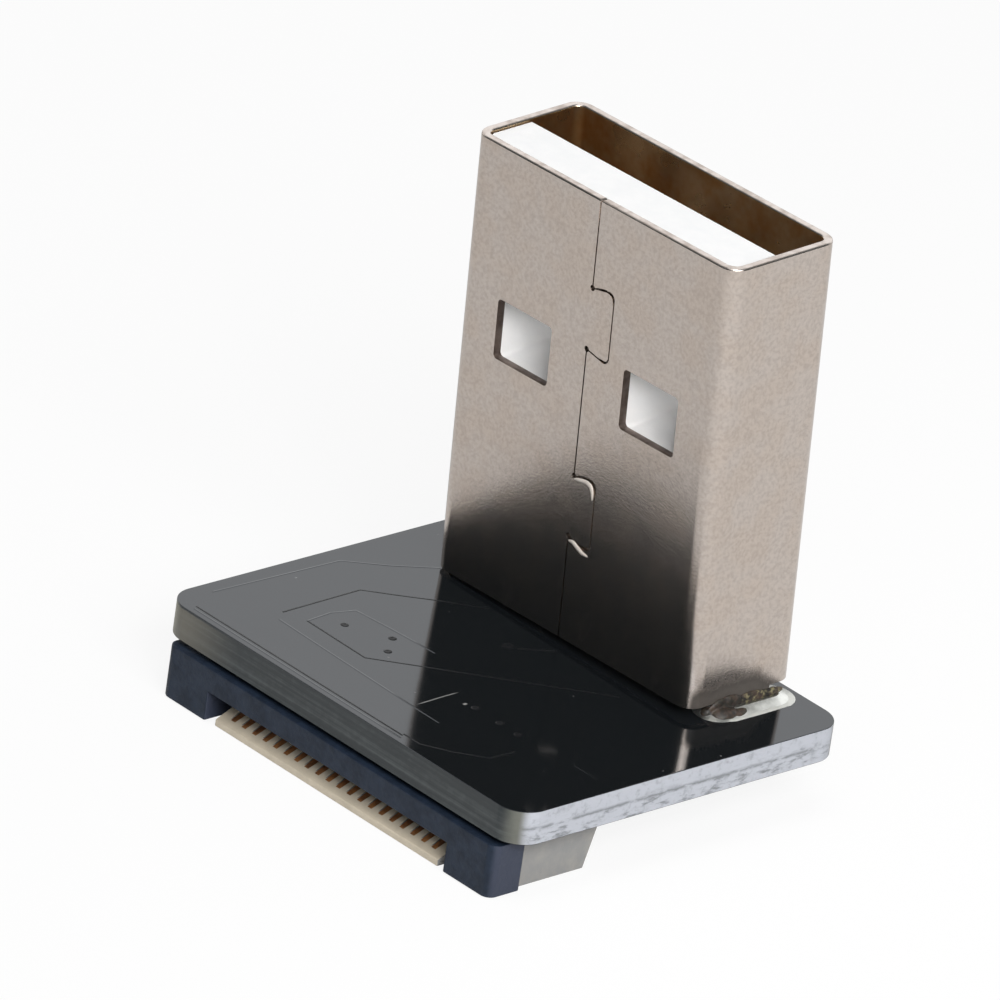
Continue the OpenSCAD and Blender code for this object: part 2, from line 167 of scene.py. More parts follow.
class Graph:
    """The nodes of one material or world, built from expressions."""

    def __init__(self, tree: bpy.types.NodeTree) -> None:
        """Starts from an empty tree.

        Args:
            tree: The tree to fill.
        """
        self.tree = tree
        tree.nodes.clear()

    def node(
        self, kind: str, settings: Mapping[str, Any] | None = None, sockets: Mapping[Any, Any] | None = None
    ) -> bpy.types.Node:
        """Adds a node.

        Args:
            kind: The node's type.
            settings: Its own settings, which are made first.
            sockets: The value or link of each input, by name or by number.

        Returns:
            The node.
        """
        made = self.tree.nodes.new(kind)
        for name, value in (settings or {}).items():
            setattr(made, name, value)
        for name, value in (sockets or {}).items():
            if isinstance(value, Wire):
                value = value.socket
            if isinstance(value, bpy.types.NodeSocket):
                self.tree.links.new(value, made.inputs[name])
            else:
                made.inputs[name].default_value = value
        return made

    def wire(
        self, kind: str, settings: Mapping[str, Any], sockets: Mapping[Any, Any], output: Any = 0
    ) -> Wire:
        """Adds a node and takes one of its outputs as a number.

        Args:
            kind: The node's type.
            settings: Its own settings.
            sockets: The value or link of each input.
            output: The output's name or number.

        Returns:
            The number.
        """
        return Wire(self, self.node(kind, settings, sockets).outputs[output])

    def maths(self, operation: str, *values: Number) -> Wire:
        """One operation on numbers."""
        return self.wire("ShaderNodeMath", {"operation": operation}, dict(enumerate(values)))

    def point(self) -> bpy.types.NodeSocket:
        """The place on the piece, in millimetres from the object's origin."""
        place = self.node("ShaderNodeTexCoord").outputs["Object"]
        settings = {"operation": "SCALE"}
        return self.node("ShaderNodeVectorMath", settings, {0: place, "Scale": PER_METRE}).outputs[0]

    def stretched(self, point: bpy.types.NodeSocket, scale: Point) -> bpy.types.NodeSocket:
        """The place with each axis at its own scale, for a pattern that is drawn out."""
        return self.node("ShaderNodeMapping", {}, {"Vector": point, "Scale": scale}).outputs[0]

    def axes(self, vector: bpy.types.NodeSocket) -> tuple[Wire, Wire, Wire]:
        """The three numbers of a vector."""
        parts = self.node("ShaderNodeSeparateXYZ", {}, {0: vector})
        return Wire(self, parts.outputs[0]), Wire(self, parts.outputs[1]), Wire(self, parts.outputs[2])

    def facing(self) -> tuple[Wire, Wire, Wire]:
        """The three numbers of the surface's own direction."""
        return self.axes(self.node("ShaderNodeNewGeometry").outputs["Normal"])

    def noise(
        self, point: bpy.types.NodeSocket, scale: float, detail: float = 3.0, rough: float = 0.55
    ) -> Wire:
        """Cloudy noise from about 0 to 1.

        Args:
            point: The place that it is looked up at.
            scale: How many lumps there are to a millimetre.
            detail: How many finer layers it has.
            rough: How strong the finer layers are.

        Returns:
            The noise.
        """
        sockets = {"Vector": point, "Scale": scale, "Detail": detail, "Roughness": rough}
        return self.wire("ShaderNodeTexNoise", {}, sockets, "Fac")

    def cells(self, point: bpy.types.NodeSocket, scale: float) -> Wire:
        """The distance to the nearest of scattered points, with that many to a millimetre."""
        return self.wire("ShaderNodeTexVoronoi", {}, {"Vector": point, "Scale": scale}, "Distance")

    def blend(self, mask: Number, first: Any, second: Any) -> bpy.types.NodeSocket:
        """Mixes two colours.

        Args:
            mask: 0 for the first colour, and 1 for the second.
            first: A colour or a link.
            second: A colour or a link.

        Returns:
            The mixed colour's output.
        """
        sockets = {0: mask, 6: opaque(first), 7: opaque(second)}
        return self.node("ShaderNodeMix", {"data_type": "RGBA"}, sockets).outputs[2]

    def relief(self, *layers: tuple[Wire, float]) -> bpy.types.NodeSocket:
        """Bumps from several heights.

        Args:
            layers: Each height with the depth in metres that 1 stands for.

        Returns:
            The bumped normal's output.
        """
        last = None
        for height, depth in layers:
            sockets = {"Height": height, "Distance": depth, "Strength": 1.0}
            if last is not None:
                sockets["Normal"] = last
            last = self.node("ShaderNodeBump", {}, sockets).outputs[0]
        return last

    def surface(self, **sockets: Any) -> None:
        """Adds the shader and the material's output.

        Args:
            sockets: The shader's inputs, with _ for a space in a name.
        """
        named = {name.replace("_", " "): opaque(value) for name, value in sockets.items()}
        shader = self.node("ShaderNodeBsdfPrincipled", {}, named)
        self.node("ShaderNodeOutputMaterial", {}, {"Surface": shader.outputs[0]})


def opaque(value: Any) -> Any:
    """A colour with its alpha; anything else as it is."""
    return (*value, 1.0) if isinstance(value, tuple) and len(value) == 3 else value


# --------------------------------------------------------------------- finishes


@dataclass(frozen=True)
class Finish:
    """A material that is built once and then shared."""

    name: str

    def paint(self, graph: Graph) -> None:
        """Adds the nodes. Each finish has its own.

        Args:
            graph: The empty graph to fill.
        """
        raise NotImplementedError

    def material(self) -> bpy.types.Material:
        """The finish's material, built at its first use."""
        made = bpy.data.materials.get(self.name)
        if made is None:
            made = bpy.data.materials.new(self.name)
            made.use_nodes = True
            self.paint(Graph(made.node_tree))
        return made


@dataclass(frozen=True)
class SatinNickel(Finish):
    """Nickel-plated sheet with a fine grain, scorched where its foot is soldered."""

    plating: Rgb = (0.545, 0.482, 0.436)
    warm_plating: Rgb = (0.54, 0.466, 0.41)
    scorch: Rgb = (0.017, 0.014, 0.011)
    roughness: float = 0.24
    grain_to_mm: float = 14.0
    speckle_to_mm: float = 7.5
    mottle_to_mm: float = 0.9
    grain_depth: float = 2.4e-6
    plating_cloud: Spot = (0.35, 0.65)
    speckle_cloud: Spot = (0.38, 0.66)
    speckle_share: float = 0.16
    foot_side: float = 5.75
    foot_edge: float = 0.2
    foot_middle: float = -0.5
    scorch_height: float = 1.3
    scorch_bend: float = 0.17
    scorch_ragged: float = 0.9
    scorch_frayed: float = 0.3
    scorch_fade: Spot = (-0.25, 0.5)
    soot_share: float = 0.87
    soot_dull: float = 0.9
    soot_rough: float = 0.25

    def paint(self, graph: Graph) -> None:
        """Adds the nodes."""
        point = graph.point()
        x, y, z = graph.axes(point)
        grain = graph.noise(point, self.grain_to_mm, 2.0, 0.5)
        mottle = graph.noise(point, self.mottle_to_mm, 3.0, 0.5)
        plating = graph.blend(mottle.rise(*self.plating_cloud), self.plating, self.warm_plating)
        reach = self.scorch_height + (mottle - 0.5) * self.scorch_ragged + (grain - 0.5) * self.scorch_frayed
        arch = reach - (y - self.foot_middle) * (y - self.foot_middle) * self.scorch_bend
        side = x.rise(self.foot_side, self.foot_side + self.foot_edge)
        heat = (arch - z).rise(*self.scorch_fade) * side
        speckle = graph.noise(point, self.speckle_to_mm, 3.0, 0.7).rise(*self.speckle_cloud)
        speckled = graph.blend(speckle * self.speckle_share, plating, self.scorch)
        # The colour darkens before the metal goes dull, so that no pale band is left above the soot.
        colour = graph.blend(heat.rise(0.0, 0.8) * self.soot_share, speckled, self.scorch)
        rough = self.roughness + (mottle - 0.5) * 0.06 + (grain - 0.5) * 0.08 + heat * self.soot_rough
        graph.surface(
            Base_Color=colour,
            Metallic=1.0 - heat.rise(0.25, 1.0) * self.soot_dull,
            Roughness=rough,
            Normal=graph.relief((grain, self.grain_depth)),
        )


@dataclass(frozen=True)
class MouldedPlastic(Finish):
    """Moulded plastic with a faint cloud in its colour and a fine skin, and, where an end colour is given,
    painted light and shade on the faces turned towards ±X.
    """

    colour: Rgb = (0.8, 0.8, 0.8)
    shade: Rgb = (0.7, 0.7, 0.7)
    roughness: float = 0.45
    cloud_to_mm: float = 1.6
    skin_to_mm: float = 18.0
    skin_depth: float = 2.5e-6
    specular: float = 0.5
    painted_end_light_and_shade: Rgb | None = None
    end_turn: Spot = (0.5, 0.95)

    def paint(self, graph: Graph) -> None:
        """Adds the nodes."""
        point = graph.point()
        cloud = graph.noise(point, self.cloud_to_mm, 4.0, 0.65)
        skin = graph.noise(point, self.skin_to_mm, 2.0, 0.5)
        colour = graph.blend(cloud.rise(0.3, 0.7), self.colour, self.shade)
        # Faces turned towards ±X take the end colour: painted shade on the ivory housing's ends, and painted
        # light on the navy slider's sides.
        if self.painted_end_light_and_shade is not None:
            end = abs(graph.facing()[0]).rise(*self.end_turn)
            colour = graph.blend(end * (0.75 + cloud * 0.4), colour, self.painted_end_light_and_shade)
        graph.surface(
            Base_Color=colour,
            Roughness=self.roughness + (cloud - 0.5) * 0.2,
            Specular_IOR_Level=self.specular,
            Normal=graph.relief((skin, self.skin_depth), (cloud, 8 * self.skin_depth)),
        )


@dataclass(frozen=True)
class PlatedMetal(Finish):
    """Plated or bare metal with worn, duller patches."""

    colour: Rgb = (0.8, 0.6, 0.3)
    tarnish: Rgb = (0.5, 0.35, 0.15)
    roughness: float = 0.28
    patch_to_mm: float = 2.4
    ripple_depth: float = 4.0e-6
    metal: float = 1.0

    def paint(self, graph: Graph) -> None:
        """Adds the nodes."""
        point = graph.point()
        patch = graph.noise(point, self.patch_to_mm, 4.0, 0.6)
        ripple = graph.noise(point, 5 * self.patch_to_mm, 2.0, 0.5)
        graph.surface(
            Base_Color=graph.blend(patch.rise(0.35, 0.7), self.colour, self.tarnish),
            Metallic=self.metal,
            Roughness=self.roughness + (patch - 0.4) * 0.3,
            Normal=graph.relief((ripple, self.ripple_depth)),
        )


@dataclass(frozen=True)
class SolderMask(Finish):
    """Glossy black lacquer with an uneven skin, specks of dust and one light scratch."""

    colour: Rgb = (0.0062, 0.0075, 0.0088)
    dust: Rgb = (0.2, 0.2, 0.2)
    scratch: Rgb = (0.32, 0.32, 0.31)
    roughness: float = 0.075
    wave_to_mm: float = 0.55
    wave_depth: float = 3.0e-6
    smear_to_mm: float = 1.7
    dust_to_mm: float = 1.1
    dust_radius: Spot = (0.05, 0.03)
    scratch_x: float = 1.09
    scratch_y: float = -8.31
    scratch_length: float = 1.5
    scratch_width: float = 0.035
    speck: Spot = (1.79, -7.81)
    speck_size: Spot = (0.09, 0.14)
    mark_edge: float = 0.05
    upper_face: Spot = (-0.2, -0.05)

    def paint(self, graph: Graph) -> None:
        """Adds the nodes."""
        point = graph.point()
        wave = graph.noise(point, self.wave_to_mm, 2.0, 0.4)
        smear = graph.noise(point, self.smear_to_mm, 5.0, 0.65)
        specks = graph.cells(point, self.dust_to_mm).rise(*self.dust_radius) * smear.rise(0.48, 0.56)
        x, y, z = graph.axes(point)
        drift = (wave - 0.5) * 0.1
        across = (x + drift).band(self.scratch_x, self.scratch_width, self.mark_edge)
        line = across * y.band(self.scratch_y, self.scratch_length, 0.4)
        dot_across = x.band(self.speck[0], self.speck_size[0], self.mark_edge)
        dot = dot_across * y.band(self.speck[1], self.speck_size[1], self.mark_edge)
        mark = (line + dot) * z.rise(*self.upper_face)
        dust_and_painted_light = graph.blend(specks * 0.8, self.colour, self.dust)
        graph.surface(
            Base_Color=graph.blend(mark * 0.85, dust_and_painted_light, self.scratch),
            Roughness=self.roughness + smear.rise(0.5, 0.8) * 0.04 + (specks + mark) * 0.4,
            IOR=1.56,
            Specular_Tint=(0.85, 0.91, 1.0),
            Normal=graph.relief((wave, self.wave_depth)),
        )


@dataclass(frozen=True)
class LaminateEdge(Finish):
    """The cut edge of glass-cloth laminate: smooth and dark in front, rough and pale at the ends, with
    painted light on its rounded corners and towards its left end.
    """

    resin: Rgb = (0.014, 0.019, 0.021)
    ply: Rgb = (0.052, 0.062, 0.063)
    # This warm, pale colour is painted light that lightens the front towards the left end.
    painted_light_ply: Rgb = (0.15, 0.14, 0.112)
    # The two corner colours are painted light on the rounded corners, lighter still at the left end.
    corner: Rgb = (0.125, 0.128, 0.108)
    lit_corner: Rgb = (0.33, 0.32, 0.24)
    rough_cut: Rgb = (0.4, 0.415, 0.455)
    rough_dark: Rgb = (0.13, 0.14, 0.145)
    roughness: float = 0.42
    ply_to_mm: Point = (0.12, 0.12, 7.5)
    fray_to_mm: Point = (1.3, 1.1, 4.0)
    fluff_to_mm: float = 3.2
    parting_z: float = -0.6
    low_line_z: float = -0.83
    dark_rim: Spot = (-0.1, -0.06)
    # Where the painted light on the front and on the left corner grows, along x.
    painted_light_span: Spot = (-4.5, -8.0)
    lit_end: Spot = (-7.0, -8.0)
    painted_corner_facing: Spot = (0.12, 0.75)
    end_turn: Spot = (0.7, 0.93)

    def paint(self, graph: Graph) -> None:
        """Adds the nodes."""
        point = graph.point()
        x, y, z = graph.axes(point)
        ply = graph.noise(graph.stretched(point, self.ply_to_mm), 1.0, 3.0, 0.6)
        fray = graph.noise(graph.stretched(point, self.fray_to_mm), 1.0, 4.0, 0.65)
        fluff = graph.noise(point, self.fluff_to_mm, 4.0, 0.65)
        side = abs(graph.facing()[0])
        cut = side.rise(*self.end_turn)
        low_line = z.band(self.low_line_z, 0.1, 0.16)
        streak = (ply * 0.6 + fluff * 0.25 + low_line * 0.16 - z.rise(-0.3, 0.0) * 0.06).rise(0.36, 0.62)
        # Painted light: the front grows lighter and warmer towards the left end.
        painted_left_light = x.rise(*self.painted_light_span) * 0.8
        dust_and_painted_light = graph.blend(painted_left_light, graph.blend(streak, self.resin, self.ply), self.painted_light_ply)
        smooth = graph.blend((z + (fluff - 0.5) * 0.05).rise(*self.dark_rim), dust_and_painted_light, self.resin)
        # Painted light on the rounded corners, by how far each face turns sideways, lighter towards the left
        # end.
        turned = graph.blend(x.rise(*self.lit_end), self.corner, self.lit_corner)
        rounded = graph.blend(side.rise(*self.painted_corner_facing) * (0.65 + fluff * 0.5), smooth, turned)
        seam = (z + (fluff - 0.5) * 0.14).band(self.parting_z, 0.08, 0.16) * fray.rise(0.36, 0.54)
        patch = fray.rise(0.5, 0.66) * z.rise(-0.3, -0.7) * 0.8
        dull = graph.blend(graph.maths("MAXIMUM", seam, patch), self.rough_cut, self.rough_dark)
        ragged = graph.blend(fluff.rise(0.5, 0.72) * 0.4, dull, self.rough_dark)
        graph.surface(
            Base_Color=graph.blend(cut, rounded, ragged),
            Roughness=self.roughness + cut * 0.25,
            Normal=graph.relief((ply, 1.0e-5), (fray * cut, 3.0e-5)),
        )


@dataclass(frozen=True)
class BurntFlux(Finish):
    """Glassy flux that has browned and blackened, with amber where it is thin."""

    char: Rgb = (0.014, 0.012, 0.01)
    brown: Rgb = (0.048, 0.031, 0.023)
    amber: Rgb = (0.2, 0.175, 0.095)
    roughness: float = 0.5
    clot_to_mm: float = 2.6
    fleck_to_mm: float = 7.5
    thin_from: Spot = (-0.25, 0.35)
    clot_depth: float = 3.0e-5
    fleck_depth: float = 0.8e-5

    def paint(self, graph: Graph) -> None:
        """Adds the nodes."""
        point = graph.point()
        clot = graph.noise(point, self.clot_to_mm, 4.0, 0.6)
        fleck = graph.noise(point, self.fleck_to_mm, 3.0, 0.6)
        rear = graph.axes(point)[1].rise(*self.thin_from)
        stain = graph.blend(clot.rise(0.42, 0.6), self.char, self.brown)
        thin = fleck.rise(0.46, 0.7) * (0.1 + rear * 0.9)
        graph.surface(
            Base_Color=graph.blend(thin, stain, self.amber),
            Roughness=self.roughness + (fleck - 0.5) * 0.3,
            Normal=graph.relief((clot, self.clot_depth), (fleck, self.fleck_depth)),
        )


@dataclass(frozen=True)
class WhiteGround(Finish):
    """The studio floor: white paper that keeps a soft shadow, with painted light that makes it lighter
    towards +X and the rear.
    """

    paper: Rgb = (0.8, 0.8, 0.8)
    painted_lit_paper: Rgb = (0.89, 0.89, 0.89)
    glow_share: float = 0.88

    def paint(self, graph: Graph) -> None:
        """Adds the nodes."""
        seen = Wire(graph, graph.node("ShaderNodeLightPath").outputs["Is Camera Ray"])
        x, y, _ = graph.axes(graph.point())
        # Painted light: the paper grows lighter towards +X and the rear.
        tone = graph.blend((x + y * 0.35).rise(-14.0, 14.0), self.paper, self.painted_lit_paper)
        paper = graph.node("ShaderNodeBsdfDiffuse", {}, {"Color": tone})
        glow = graph.node("ShaderNodeEmission", {}, {"Color": (1.0, 1.0, 1.0, 1.0), "Strength": 1.0})
        sockets = {0: seen * self.glow_share, 1: paper.outputs[0], 2: glow.outputs[0]}
        mixed = graph.node("ShaderNodeMixShader", {}, sockets)
        graph.node("ShaderNodeOutputMaterial", {}, {"Surface": mixed.outputs[0]})


NICKEL = SatinNickel("satin_nickel")
MASK = SolderMask("black_solder_mask")
LAMINATE = LaminateEdge("laminate_edge")
TIN = PlatedMetal("bright_tin", (0.74, 0.75, 0.72), (0.52, 0.53, 0.5), 0.3, 1.8, 6.0e-6)
PAD_TIN = PlatedMetal("dull_pad_tin", (0.6, 0.61, 0.58), (0.5, 0.51, 0.48), 0.5, 1.5, 6.0e-6, 0.3)
FLUX = BurntFlux("burnt_flux")
GROOVE = MouldedPlastic(
    "lacquer_groove", (0.007, 0.008, 0.0095), (0.0045, 0.005, 0.006), 0.45, 2.0, 20.0, 2.0e-6, 0.25
)
# The inner walls' brown metal is a painted reflection of the gold contacts, darkened as painted shade.
INNER_WALL_PAINTED_REFLECTION = PlatedMetal("inner_wall_painted_reflection", (0.55, 0.43, 0.29), (0.42, 0.24, 0.1), 0.27, 0.5, 1.5e-6)
# The latch windows' dark edge metal is painted shade.
WINDOW_EDGE_PAINTED_SHADE = PlatedMetal("window_edge_painted_shade", (0.24, 0.19, 0.165), (0.12, 0.09, 0.075), 0.4, 1.2, 2.0e-6)
# The seam lips' pale, half-metal finish is a painted highlight on the tab ends' edges.
LIP_PAINTED_HIGHLIGHT = PlatedMetal("seam_lip_painted_highlight", (0.7, 0.64, 0.58), (0.56, 0.5, 0.45), 0.42, 2.6, 2.0e-6, 0.3)
# The rim's cut metal is made brighter than the plating as a painted highlight.
CUT_SHEET_PAINTED_HIGHLIGHT = PlatedMetal("cut_sheet_edge_painted_highlight", (0.62, 0.56, 0.52), (0.42, 0.36, 0.32), 0.3, 2.2, 3.0e-6)
WHITE_PLASTIC = MouldedPlastic("white_insulator", (0.88, 0.88, 0.88), (0.85, 0.855, 0.86), 0.42)
# The housing's grey end colour is painted shade on its ends, under the board's overhang.
IVORY_PLASTIC = MouldedPlastic(
    "ivory_housing", (0.58, 0.51, 0.4), (0.5, 0.44, 0.345), 0.5, 1.6, 18.0, 2.5e-6, 0.4, (0.225, 0.225, 0.222)
)
# The slider's lighter, bluer end colour is painted light on its sides turned towards ±X.
NAVY_PLASTIC = MouldedPlastic(
    "navy_slider", (0.0145, 0.0235, 0.042), (0.0085, 0.0145, 0.0265), 0.5, 2.2, 20.0, 4.0e-6, 0.24,
    (0.036, 0.043, 0.066),
)
GOLD = PlatedMetal("gold_flash", (0.83, 0.6, 0.24), (0.66, 0.42, 0.15), 0.25, 1.6, 3.0e-6)
BRONZE = PlatedMetal("worn_bronze", (0.36, 0.15, 0.05), (0.13, 0.05, 0.02), 0.45, 3.0, 8.0e-6, 0.35)
GROUND = WhiteGround("white_ground")


# -------------------------------------------------------------------- the bench


class Bench:
    """Modelling steps that are the same for every piece."""

    @staticmethod
    def clear() -> None:
        """Leaves edit mode and deselects everything."""
        if bpy.context.object is not None and bpy.context.object.mode != "OBJECT":
            bpy.ops.object.mode_set(mode="OBJECT")
        bpy.ops.object.select_all(action="DESELECT")

    @staticmethod
    def pick(piece: bpy.types.Object) -> None:
        """Makes one piece the only selected and active one."""
        Bench.clear()
        piece.select_set(True)
        bpy.context.view_layer.objects.active = piece

    @staticmethod
    def edit(piece: bpy.types.Object) -> None:
        """Opens a piece in edit mode with nothing selected."""
        Bench.pick(piece)
        bpy.ops.object.mode_set(mode="EDIT")
        bpy.ops.mesh.select_mode(type="FACE")
        bpy.ops.mesh.select_all(action="DESELECT")

    @staticmethod
    def select_faces(piece: bpy.types.Object, wanted: Callable[[bpy.types.MeshPolygon], bool]) -> None:
        """Selects faces by a test, in edit mode.

        Args:
            piece: The piece that is open.
            wanted: Says whether a face is selected.
        """
        bpy.ops.object.mode_set(mode="OBJECT")
        chosen = {face.index for face in piece.data.polygons if wanted(face)}
        for vertex in piece.data.vertices:
            vertex.select = False
        for edge in piece.data.edges:
            edge.select = False
        for face in piece.data.polygons:
            face.select = face.index in chosen
        bpy.ops.object.mode_set(mode="EDIT")

    @staticmethod
    def select_corners(piece: bpy.types.Object, wanted: Callable[[Vector], bool]) -> None:
        """Selects vertices by a test on their place, in edit mode.

        Args:
            piece: The piece that is open.
            wanted: Says whether a vertex is selected.
        """
        bpy.ops.mesh.select_mode(type="VERT")
        bpy.ops.object.mode_set(mode="OBJECT")
        for face in piece.data.polygons:
            face.select = False
        for edge in piece.data.edges:
            edge.select = False
        for vertex in piece.data.vertices:
            vertex.select = wanted(vertex.co)
        bpy.ops.object.mode_set(mode="EDIT")

    @staticmethod
    def modify(piece: bpy.types.Object, kind: str, **settings: Any) -> None:
        """Adds a modifier and applies it.

        Args:
            piece: The piece.
            kind: The modifier's type.
            settings: The modifier's settings.
        """
        Bench.pick(piece)
        modifier = piece.modifiers.new(kind.lower(), kind)
        for name, value in settings.items():
            setattr(modifier, name, value)
        bpy.ops.object.modifier_apply(modifier=modifier.name)

    @staticmethod
    def settle(piece: bpy.types.Object, smooth: bool = True) -> bpy.types.Object:
        """Puts a piece's place into its mesh and smooths its shallow edges.

        Args:
            piece: The piece.
            smooth: Whether it is shaded smooth below the usual angle.

        Returns:
            The same piece.
        """
        Bench.pick(piece)
        bpy.ops.object.transform_apply(location=True, rotation=True, scale=True)
        if smooth:
            bpy.ops.object.shade_smooth_by_angle(angle=SMOOTH_ANGLE)
            Bench.modify(piece, "WEIGHTED_NORMAL", mode="FACE_AREA", weight=50, keep_sharp=True)
        Bench.clear()
        return piece

    @staticmethod
    def copy_node(node: str, name: str) -> bpy.types.Object:
        """Copies a node's mesh into a new piece, with its loose triangles joined into clean faces.

        Args:
            node: The node to copy.
            name: The new piece's name.

        Returns:
            The new piece.
        """
        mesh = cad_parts[node].data.copy()
        mesh.name = name
        mesh.materials.clear()
        piece = bpy.data.objects.new(name, mesh)
        bpy.context.scene.collection.objects.link(piece)
        Bench.edit(piece)
        bpy.ops.mesh.customdata_custom_splitnormals_clear()
        bpy.ops.mesh.select_all(action="SELECT")
        bpy.ops.mesh.remove_doubles(threshold=MERGE_DISTANCE)
        bpy.ops.mesh.dissolve_limited(angle_limit=FLAT_ANGLE)
        bpy.ops.object.mode_set(mode="OBJECT")
        return piece

    @staticmethod
    def soften(piece: bpy.types.Object, width: float, segments: int = 2, angle: float = 35.0) -> None:
        """Rounds the sharp edges of a piece.

        Args:
            piece: The piece.
            width: The bevel's width in millimetres.
            segments: How many faces the rounding has.
            angle: The angle in degrees above which an edge is rounded.
        """
        Bench.modify(
            piece,
            "BEVEL",
            width=width * MM,
            segments=segments,
            limit_method="ANGLE",
            angle_limit=math.radians(angle),
            harden_normals=False,
            use_clamp_overlap=True,
        )

    @staticmethod
    def duplicate(piece: bpy.types.Object, name: str, shift: Point, flip_x: bool = False) -> bpy.types.Object:
        """Copies a finished piece with its own mesh.

        Args:
            piece: The piece to copy.
            name: The copy's name.
            shift: How far the copy is moved, in millimetres.
            flip_x: Whether the copy is mirrored across the middle plane first.

        Returns:
            The copy.
        """
        copy = piece.copy()
        copy.data = piece.data.copy()
        copy.name = name
        bpy.context.scene.collection.objects.link(copy)
        if flip_x:
            copy.data.transform(Matrix.Diagonal((-1.0, 1.0, 1.0, 1.0)))
            copy.data.flip_normals()
        copy.data.transform(Matrix.Translation(Vector(shift) * MM))
        return copy

    @staticmethod
    def join(pieces: Sequence[bpy.types.Object], name: str) -> bpy.types.Object:
        """Joins several pieces into one.

        Args:
            pieces: The pieces, whose places are already in their meshes.
            name: The joined piece's name.

        Returns:
            The joined piece.
        """
        Bench.clear()
        for piece in pieces:
            piece.select_set(True)
        bpy.context.view_layer.objects.active = pieces[0]
        if len(pieces) > 1:
            bpy.ops.object.join()
        pieces[0].name = name
        pieces[0].data.name = name
        Bench.clear()
        return pieces[0]


def hand_in(
    piece: bpy.types.Object,
    body: Body,
    finishes: Sequence[Finish] = (),
    nodes: Iterable[str] = (),
) -> None:
    """Gives a piece its finishes and places it on its body.

    Args:
        piece: The finished piece.
        body: The body it rides on.
        finishes: Its finishes in slot order, or none if it has them already.
        nodes: The nodes that it stands for.
    """
    if finishes:
        piece.data.materials.clear()
        for finish in finishes:
            piece.data.materials.append(finish.material())
    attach(piece, body.value)
    if nodes:
        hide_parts(*nodes)
    LOG.info("%s: %d faces on %s", piece.name, len(piece.data.polygons), body.value)


def dress_node(node: str, finish: Finish) -> None:
    """Gives a carried-over node its finish.

    Args:
        node: The node's name.
        finish: Its finish.
    """
    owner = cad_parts[node]
    if not owner.material_slots:
        owner.data.materials.append(finish.material())
    for held in owner.material_slots:
        held.material = finish.material()
    LOG.info("%s: node finished in %s", node, finish.name)


# ---------------------------------------------------------------- sub-assemblies


